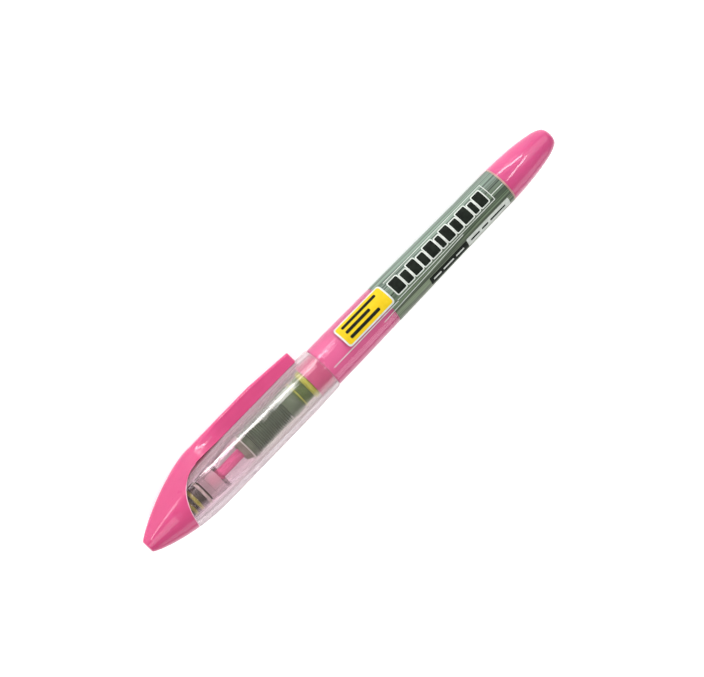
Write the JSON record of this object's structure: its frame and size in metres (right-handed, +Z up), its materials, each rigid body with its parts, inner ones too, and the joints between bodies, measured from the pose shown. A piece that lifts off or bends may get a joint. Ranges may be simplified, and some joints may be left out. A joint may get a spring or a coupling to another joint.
{
  "type": "capped highlighter pen",
  "caption": "Pen-shaped liquid-ink highlighter with a clear cap over a finned ink feed, an opaque nose with a springy pocket clip, a printed barrel and a bullet end plug.",
  "frame": {"origin": "on the pen's axis, at the shoulder where the cap's mouth meets the barrel", "axes": "+X along the pen towards its end plug, with the nib towards -X; +Z up as the pen lies on a table on its cap; +Y towards the side the clip lies on"},
  "size_m": [0.1398, 0.0154, 0.0122],
  "materials": {
    "clear_plastic": "clear moulded, polished",
    "printed_film": "printed thin film, satin",
    "pink_plastic": "opaque fluorescent pink, moulded",
    "pink_ink": "liquid",
    "olive_plastic": "moulded",
    "lime_plastic": "moulded",
    "inked_felt": "bonded fibre soaked in ink",
    "feed_plastic": "moulded",
    "green_plastic": "moulded",
    "frosted_plastic": "translucent, moulded"
  },
  "bodies": {
    "pen": {"barrel_tube": "clear_plastic", "label_film": "printed_film", "end_plug": "pink_plastic", "ink_charge": "pink_ink", "front_section": "clear_plastic", "nib_holder": "olive_plastic", "seal_bands": "lime_plastic", "nib": "inked_felt", "wick": "inked_felt", "wick_guide": "feed_plastic", "collector": "feed_plastic", "feed_collar": "green_plastic", "tank_seal": "lime_plastic"},
    "inner_cap": {"inner_cap": "frosted_plastic"},
    "cap": {"cap_sleeve": "clear_plastic", "cap_nose": "pink_plastic"},
    "clip": {"cap_clip": "pink_plastic"}
  },
  "joints": [
    {"name": "cap_pull", "type": "slide", "parent": "pen", "child": "inner_cap", "axis": [-1, 0, 0], "range_m": [0, 0.06]},
    {"name": "cap_spin", "type": "hinge", "parent": "inner_cap", "child": "cap", "pos_m": [-0.038, 0, 0], "axis": [1, 0, 0], "continuous": true},
    {"name": "clip_flex", "type": "hinge", "parent": "cap", "child": "clip", "pos_m": [-0.038, 0.00717, -0.00371], "axis": [0, 0.4592, 0.8883], "range_deg": [0, 4], "stiffness_Nm_per_rad": 0.6}
  ]
}
